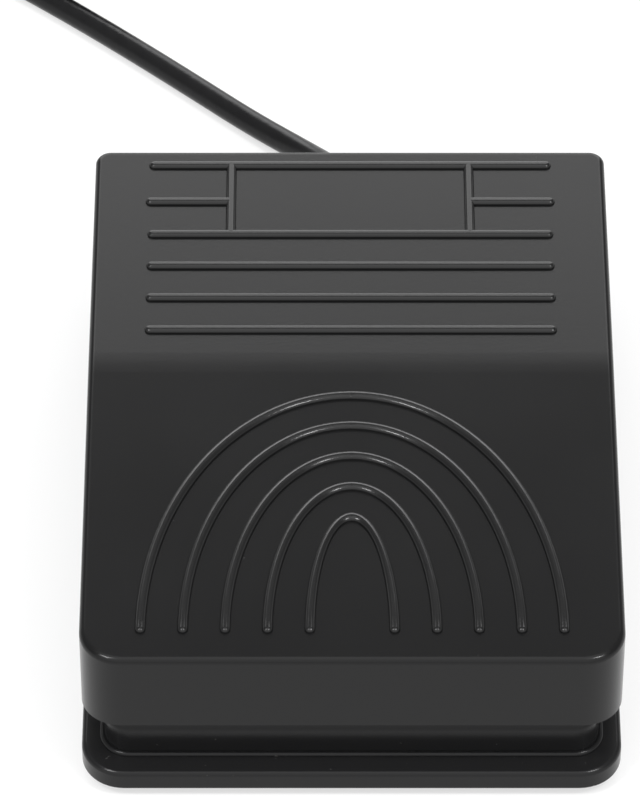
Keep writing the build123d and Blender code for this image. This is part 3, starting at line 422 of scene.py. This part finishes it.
bead_corner = housing_corner + bead_stand
bead_side = housing_half_width + bead_stand
bead_front, bead_rear = housing_front - bead_stand, housing_rear + bead_stand
bead_ends = [
    Vector((bead_gap, housing_rear - bead_radius, bead_z)),
    Vector((bead_gap + bead_end_run, bead_rear, bead_z)),
]
bead_line = list(bead_ends)
for side_x, side_y in ((1, 1), (1, -1), (-1, -1), (-1, 1)):
    corner_y = bead_rear - bead_corner if side_y > 0 else bead_front + bead_corner
    middle = Vector(((bead_side - bead_corner) * side_x, corner_y, bead_z))
    first = math.atan2(side_y, side_x) + math.pi / 4
    for step in range(corner_steps + 1):
        angle = first - math.pi / 2 * step / corner_steps
        bead_line.append(middle + Vector((math.cos(angle), math.sin(angle), 0)) * bead_corner)
bead_line += [Vector((-end.x, end.y, end.z)) for end in reversed(bead_ends)]

bead_curve = bpy.data.curves.new("foot_bead", "CURVE")
bead_curve.dimensions = "3D"
bead_curve.bevel_depth = bead_radius
bead_curve.bevel_resolution = 4
bead_curve.use_fill_caps = True
bead_spline = bead_curve.splines.new("POLY")
bead_spline.points.add(len(bead_line) - 1)
for point, place in zip(bead_spline.points, bead_line):
    point.co = (*place, 1)
bead = bpy.data.objects.new("foot_bead", bead_curve)
bpy.context.scene.collection.objects.link(bead)
bead_curve.materials.append(base_abs)
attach(bead, "base")

# ---------------------------------------------------------------- feet and stop pads
# Small discs of matt black rubber. The feet press into recesses under the plate, the stop pads sit
# in cups under the toe of the treadle.

rubber_black = (0.018, 0.018, 0.018)
rubber = grained(
    "matt_rubber", rubber_black, rough=0.72, grain=1600.0, strength=0.45, spread=0.12, dust=0.8
)
assign(
    rubber, "foot_front_left", "foot_front_right", "foot_rear_left", "foot_rear_right",
    "stop_pad_left", "stop_pad_right",
)

# ---------------------------------------------------------------- screws
# Zinc-plated self-tapping screws with cross recesses: four long ones from beneath, two on the
# circuit board and two on the cord clamp. Each group is one piece.

origin, upwards = Vector((0, 0, 0)), Vector((0, 0, 1))
plated_grey = (0.5, 0.5, 0.49)
zinc = turned_metal("zinc_plate", plated_grey, 0.28, origin, upwards, rings_per_metre=5000.0)
screw_sides = 32
# the head from its bearing face to the crown, as shares of its radius and of its height
head_outline = [(0.96, 0.0), (1.0, 0.12), (1.0, 0.4), (0.93, 0.75), (0.78, 0.94), (0.62, 1.0)]
# the shank's radii at its point, between the threads and at its neck, as shares of its radius
point_share, root_share, neck_share = 0.25, 0.8, 0.85
# what the thread leaves plain, and how far below the head the neck starts, in shank radii
plain_radii, neck_radii = 1.5, 0.1
# the cross recess: its arms' reach and half width as shares of the head's radius, and its floor
arm_share, arm_half_share = 0.5, 0.12
recess_taper, recess_floor = 0.72, 0.42
sharp_from = math.radians(35)


def screw_shape(mesh, place, heading, head_radius, head_height, shank_radius, length, pitch):
    """Add a pan-head screw to mesh: place is the middle of its bearing face, heading leads outwards."""
    quarter = screw_sides // 4
    turn = upwards.rotation_difference(heading).to_matrix()

    def ring(radius, height):
        spots = []
        for count in range(screw_sides):
            angle = 2 * math.pi * count / screw_sides
            spot = Vector((radius * math.cos(angle), radius * math.sin(angle), height))
            spots.append(mesh.verts.new(place + turn @ spot))
        return spots

    def join(lower, upper):
        for count in range(len(lower)):
            after = (count + 1) % len(lower)
            mesh.faces.new((lower[count], lower[after], upper[after], upper[count]))

    # the shank with its thread, from the point up to the head
    rings = [ring(shank_radius * point_share, -length)]
    crests = int((length - plain_radii * shank_radius) / pitch)
    for crest in range(crests):
        low = -length + shank_radius + crest * pitch
        rings += [ring(shank_radius * root_share, low), ring(shank_radius, low + 0.5 * pitch)]
    rings.append(ring(shank_radius * root_share, -neck_radii * shank_radius))
    rings.append(ring(shank_radius * neck_share, 0))
    rings += [ring(head_radius * across, head_height * up) for across, up in head_outline]
    for lower, upper in zip(rings, rings[1:]):
        join(lower, upper)
    mesh.faces.new(list(reversed(rings[0])))

    # the outline of the recess follows the crown's ring: four arms and four inner corners
    def cross(scale, height):
        arm, half = head_radius * arm_share * scale, head_radius * arm_half_share * scale
        spots = []
        for count in range(screw_sides):
            part, step = divmod((count + quarter // 2) % screw_sides, quarter)
            share = step / quarter
            if share < 0.25:
                flat = (half + (arm - half) * share * 4, -half)
            elif share < 0.75:
                flat = (arm, -half + 2 * half * (share - 0.25) * 2)
            else:
                flat = (arm - (arm - half) * (share - 0.75) * 4, half)
            angle = part * math.pi / 2
            spot = Vector((
                flat[0] * math.cos(angle) - flat[1] * math.sin(angle),
                flat[0] * math.sin(angle) + flat[1] * math.cos(angle),
                height,
            ))
            spots.append(mesh.verts.new(place + turn @ spot))
        return spots

    mouth = cross(1.0, head_height)
    floor_ring = cross(recess_taper, head_height * recess_floor)
    join(rings[-1], mouth)
    join(mouth, floor_ring)
    mesh.faces.new(floor_ring)


def screw_group(name, node, places, heading, head, shank_radius, pitch):
    """One piece of like screws that stands for a solid of the frame. Heads face up or down."""
    low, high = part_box(node)
    head_radius, head_height = head
    length = high[2] - low[2] - head_height
    seat = high[2] - head_height if heading > 0 else low[2] + head_height
    outwards = Vector((0, 0, heading))
    shape = bmesh.new()
    for x, y in places:
        screw_shape(
            shape, Vector((x, y, seat)), outwards, head_radius, head_height, shank_radius, length, pitch
        )
    bmesh.ops.recalc_face_normals(shape, faces=shape.faces)
    for face in shape.faces:
        face.smooth = True
    mesh = bpy.data.meshes.new(name)
    shape.to_mesh(mesh)
    shape.free()
    mesh.set_sharp_from_angle(angle=sharp_from)
    piece = bpy.data.objects.new(name, mesh)
    bpy.context.scene.collection.objects.link(piece)
    mesh.materials.append(zinc)
    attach(piece, "base")
    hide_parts(node)


def both_sides(x, *depths):
    """Places left and right of the middle at each depth, in metres."""
    return [(side * x * MM, depth * MM) for depth in depths for side in (-1, 1)]


# each head's radius and height, each shank's radius and the pitch of its thread
housing_head, board_head = (2.7 * MM, 1.5 * MM), (1.8 * MM, 1.3 * MM)
housing_shank, board_shank = 1.4 * MM, 0.95 * MM
housing_pitch, board_pitch = 1.0 * MM, 0.7 * MM
housing_places = both_sides(27, -30, 26)
board_places, clamp_places = both_sides(12.5, 8), both_sides(5.4, 35)
for name, node, places, heading, head, shank, pitch in (
    ("housing_screw_set", "housing_screws", housing_places, -1, housing_head, housing_shank, housing_pitch),
    ("board_screw_set", "board_screws", board_places, 1, board_head, board_shank, board_pitch),
    ("clamp_screw_set", "clamp_screws", clamp_places, 1, board_head, board_shank, board_pitch),
):
    screw_group(name, node, places, heading, head, shank, pitch)

# ---------------------------------------------------------------- hinge pins
# Two short pins of ground steel, lightly oiled, that sit in the housing's lugs and carry the
# treadle's ears.

hinge_at = Vector((0, 41, 14)) * MM
across_pedal = Vector((1, 0, 0))
steel_grey = (0.56, 0.56, 0.57)
pin_steel = turned_metal("ground_steel", steel_grey, 0.18, hinge_at, across_pedal, rings_per_metre=7000.0)
assign(pin_steel, "hinge_pin_left", "hinge_pin_right")

# ---------------------------------------------------------------- return springs
# Two compression springs of 0.8 mm drawn wire stand in cups in the deck and push the treadle up.
# The last turn at each end lies closed, and the upper turns are drawn in so that they clear their
# seat, which swings a little towards the toe.

spring_wire = 0.8 * MM
spring_radius = 3.6 * MM
spring_turns = 6
spring_points_per_turn = 28
spring_closed_turns, spring_closed_climb = 0.9, 0.16
spring_drawn_in = 0.34 * MM
spring_drawn_from, spring_drawn_over = 0.55, 0.2
wire_sides = 12
drawn_grey = (0.42, 0.42, 0.43)
spring_steel = turned_metal("spring_wire", drawn_grey, 0.24, origin, upwards, rings_per_metre=3000.0)


def spring_height(share):
    """Height of the wire along the spring: closed at both ends, open between."""
    closed = spring_closed_turns / spring_turns
    if share < closed:
        return spring_closed_climb * share
    if share > 1 - closed:
        return 1 - spring_closed_climb * (1 - share)
    inner = (share - closed) / (1 - 2 * closed)
    return spring_closed_climb * closed + inner * (1 - 2 * spring_closed_climb * closed)


for side in ("left", "right"):
    low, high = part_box(f"return_spring_{side}")
    middle_x, middle_y = (low[0] + high[0]) / 2, (low[1] + high[1]) / 2
    bottom, reach = low[2] + spring_wire / 2, high[2] - low[2] - spring_wire
    line = []
    for count in range(spring_turns * spring_points_per_turn + 1):
        angle = 2 * math.pi * count / spring_points_per_turn
        share = count / (spring_turns * spring_points_per_turn)
        height = spring_height(share)
        drawn_in = spring_drawn_in * min(max((share - spring_drawn_from) / spring_drawn_over, 0), 1)
        outwards = Vector((math.cos(angle), math.sin(angle), 0)) * (spring_radius - drawn_in)
        line.append(Vector((middle_x, middle_y, bottom + reach * height)) + outwards)
    shape = bmesh.new()
    rings = []
    for count, spot in enumerate(line):
        ahead = (line[min(count + 1, len(line) - 1)] - line[max(count - 1, 0)]).normalized()
        outwards = Vector((spot.x - middle_x, spot.y - middle_y, 0)).normalized()
        square = ahead.cross(outwards).normalized()
        ring = []
        for step in range(wire_sides):
            angle = 2 * math.pi * step / wire_sides
            offset = (outwards * math.cos(angle) + square * math.sin(angle)) * spring_wire / 2
            ring.append(shape.verts.new(spot + offset))
        rings.append(ring)
    for ring, after in zip(rings, rings[1:]):
        for step in range(wire_sides):
            beside = (step + 1) % wire_sides
            shape.faces.new((ring[step], ring[beside], after[beside], after[step]))
    shape.faces.new(list(reversed(rings[0])))
    shape.faces.new(rings[-1])
    bmesh.ops.recalc_face_normals(shape, faces=shape.faces)
    for face in shape.faces:
        face.smooth = len(face.verts) == 4
    mesh = bpy.data.meshes.new(f"wound_spring_{side}")
    shape.to_mesh(mesh)
    shape.free()
    spring = bpy.data.objects.new(f"wound_spring_{side}", mesh)
    bpy.context.scene.collection.objects.link(spring)
    mesh.materials.append(spring_steel)
    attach(spring, "base")
    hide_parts(f"return_spring_{side}")
    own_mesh(spring)

# ---------------------------------------------------------------- sensor
# A potentiometer in a pressed, tinned case stands on the board. The pusher under the treadle turns
# its shaft through a lever; both are natural white acetal.

sensor_at = Vector((0, 17, 11.6)) * MM
acetal_white = (0.62, 0.6, 0.55)
tinned_case = turned_metal("tinned_case", plated_grey, 0.3, sensor_at, across_pedal, rings_per_metre=2500.0)
shaft_steel = turned_metal("shaft_steel", steel_grey, 0.2, sensor_at, across_pedal, rings_per_metre=8000.0)
acetal = grained("white_acetal", acetal_white, rough=0.38, grain=1800.0, strength=0.12, spread=0.08)
assign(tinned_case, "potentiometer")
assign(shaft_steel, "sensor_shaft")
assign(acetal, "sensor_lever", "pusher")

# ---------------------------------------------------------------- circuit board
# A phenolic board with a green solder mask over its copper tracks, screwed to two posts in the
# plate. The capacitors and resistors are soldered in one row at its front.

mask_green, track_green = (0.012, 0.085, 0.03), (0.02, 0.15, 0.045)
track_scale, track_edge, track_softness = 260.0, 0.16, 0.02
track_strength, track_depth = 0.3, 0.04 * MM
weave_scale, weave_share = 2400.0, 0.2
mask_roughness, weave_roughness = 0.25, 0.12

solder_mask, wire, output = new_material("solder_mask")
place = wire.node("ShaderNodeTexCoord", None, None, "Object")
blocks = wire.node(
    "ShaderNodeTexVoronoi", {"distance": "MANHATTAN", "feature": "DISTANCE_TO_EDGE"},
    {"Vector": place, "Scale": track_scale},
)
track = 1 - blocks.above(track_edge, track_softness)
weave = wire.noise(place, weave_scale, 2.0)
close_material(solder_mask, wire, output, {
    "Base Color": wire.blend(track, mask_green, track_green),
    "IOR": plastic_ior,
    "Roughness": mask_roughness + weave * weave_roughness,
    "Normal": wire.bumps(track + weave * weave_share, track_strength, track_depth),
})
assign(solder_mask, "circuit_board")

# the can stands on the right, the film capacitor on the left, and ringed resistors between them
can_from = 5 * MM
can_softness = 0.5 * MM
can_blue, film_red = (0.02, 0.03, 0.09), (0.28, 0.035, 0.02)
resistor_tan, resistor_ring = (0.42, 0.3, 0.18), (0.2, 0.03, 0.02)
ring_scale, ring_edge, ring_softness = 260.0, 0.8, 0.05
lacquer_scale, lacquer_strength = 900.0, 0.15
lacquer_roughness, lacquer_spread = 0.3, 0.15

board_parts, wire, output = new_material("board_parts")
place = wire.node("ShaderNodeTexCoord", None, None, "Object")
across = wire.node("ShaderNodeSeparateXYZ", None, {"Vector": place}, "X")
is_can = across.above(can_from, can_softness)
is_film = 1 - across.above(-can_from, can_softness)
rings = wire.node(
    "ShaderNodeTexWave", {"wave_type": "BANDS", "bands_direction": "X"},
    {"Vector": place, "Scale": ring_scale},
)
resistor = wire.blend(rings.above(ring_edge, ring_softness), resistor_tan, resistor_ring)
lacquer = wire.noise(place, lacquer_scale, 3.0)
close_material(board_parts, wire, output, {
    "Base Color": wire.blend(is_film, wire.blend(is_can, resistor, can_blue), film_red),
    "IOR": plastic_ior,
    "Roughness": lacquer_roughness + lacquer * lacquer_spread,
    "Normal": wire.bumps(lacquer, lacquer_strength, relief_depth),
})
assign(board_parts, "board_components")

# ---------------------------------------------------------------- cord inside the base
# The jacket ends behind the clamp, a black ABS bar, and the two cores go on to the board in red and
# black insulation.

assign(cord_pvc, "cord_inner_end")
assign(base_abs, "cord_clamp")
for name, colour, node in (
    ("core_red", (0.34, 0.012, 0.01), "lead_left"),
    ("core_black", (0.014, 0.014, 0.014), "lead_right"),
):
    assign(grained(name, colour, rough=0.3, grain=1500.0, strength=0.08, spread=0.08), node)

# ---------------------------------------------------------------- studio
# White paper floor in a grey room. A bright wall stands behind, narrow and no higher than 45 degrees,
# with a dark band above it. The side in front is paler, the ceiling straight above is bright, and two
# tall softboxes stand in front to the left and right.

dim_side, dim_upper, ceiling, horizon = 0.36, 0.38, 1.7, 1.0
wall_low, wall_falls = 4.05, 0.25
wall_azimuths = (17, 31)          # bright within the first, and gone beyond the second
wall_falls_between = (30, 43)     # elevations, in degrees
room_starts = (12, 16)
wall_ends = (43.5, 48)
ceiling_starts = (64, 72)
front_from, front_to = 0.3, 0.7   # cosines of the azimuth from straight in front
front_side, front_upper = 0.95, 1.12
band_darker = 0.15
tiny = 1e-6                       # keeps the root above zero straight overhead

world = bpy.data.worlds.new("studio")
bpy.context.scene.world = world
world.use_nodes = True
world.node_tree.nodes.clear()
sky = Wire(world.node_tree)
direction = sky.node("ShaderNodeTexCoord", None, None, "Generated")
across, along, height = (
    sky.node("ShaderNodeSeparateXYZ", None, {"Vector": direction}, name) for name in ("X", "Y", "Z")
)


def between(elevations):
    """0 below the first elevation, 1 above the second, both in degrees over the horizon."""
    low, high = (math.sin(math.radians(degrees)) for degrees in elevations)
    return height.rise(low, high)


level = sky.math("SQRT", 1 - height * height + tiny)
facing_back = along / level
wall_full, wall_gone = (math.cos(math.radians(degrees)) for degrees in wall_azimuths)
behind = facing_back.rise(wall_gone, wall_full)
in_front = (0 - facing_back).rise(front_from, front_to)
low_wall = wall_low - wall_falls * between(wall_falls_between)
wall_light = dim_side + behind * (low_wall - dim_side) + in_front * front_side
upper_light = dim_upper + in_front * front_upper - behind * band_darker
upper = upper_light + (ceiling - upper_light) * between(ceiling_starts)
above_horizon = wall_light + (upper - wall_light) * between(wall_ends)
room = horizon + (above_horizon - horizon) * between(room_starts)
background = sky.node("ShaderNodeBackground", None, {"Color": (1, 1, 1, 1), "Strength": room})
world_output = world.node_tree.nodes.new("ShaderNodeOutputWorld")
world.node_tree.links.new(background.socket, world_output.inputs["Surface"])

box_width, box_height = 0.173, 0.25
box_radiance = 31.0
box_away = 1.1
box_azimuth, box_elevation = math.radians(51), math.radians(60)
for side, turn in (("left", -box_azimuth), ("right", box_azimuth)):
    lamp_data = bpy.data.lights.new(f"softbox_{side}", "AREA")
    lamp_data.shape = "RECTANGLE"
    lamp_data.size = box_width
    lamp_data.size_y = box_height
    lamp_data.energy = box_radiance * math.pi * box_width * box_height
    lamp = bpy.data.objects.new(f"softbox_{side}", lamp_data)
    level_reach = math.cos(box_elevation)
    heading = Vector((math.sin(turn) * level_reach, -math.cos(turn) * level_reach, math.sin(box_elevation)))
    lamp.location = heading * box_away
    lamp.rotation_euler = heading.to_track_quat("Z", "Y").to_euler()
    bpy.context.scene.collection.objects.link(lamp)

floor_reach = 3.0
floor_drop = 0.1 * MM     # keeps the paper just clear of the feet
paper_grey, paper_glow = 0.35, 0.6
floor_mesh = bpy.data.meshes.new("floor")
floor_shape = bmesh.new()
bmesh.ops.create_grid(floor_shape, x_segments=1, y_segments=1, size=floor_reach)
floor_shape.to_mesh(floor_mesh)
floor_shape.free()
floor = bpy.data.objects.new("floor", floor_mesh)
floor.location.z = -floor_drop
bpy.context.scene.collection.objects.link(floor)
floor_paper, wire, output = new_material("floor_paper")
camera_ray, glossy_ray, clear_ray = (
    wire.node("ShaderNodeLightPath", None, None, name)
    for name in ("Is Camera Ray", "Is Glossy Ray", "Is Transmission Ray")
)
paper = wire.node("ShaderNodeBsdfDiffuse", None, {"Color": (paper_grey, paper_grey, paper_grey, 1)})
seen = camera_ray + glossy_ray + clear_ray
glow = wire.node("ShaderNodeEmission", None, {"Color": (1, 1, 1, 1), "Strength": seen * paper_glow})
lit = wire.node("ShaderNodeAddShader", None, {0: paper, 1: glow})
wire.tree.links.new(lit.socket, output.inputs["Surface"])
floor_mesh.materials.append(floor_paper)
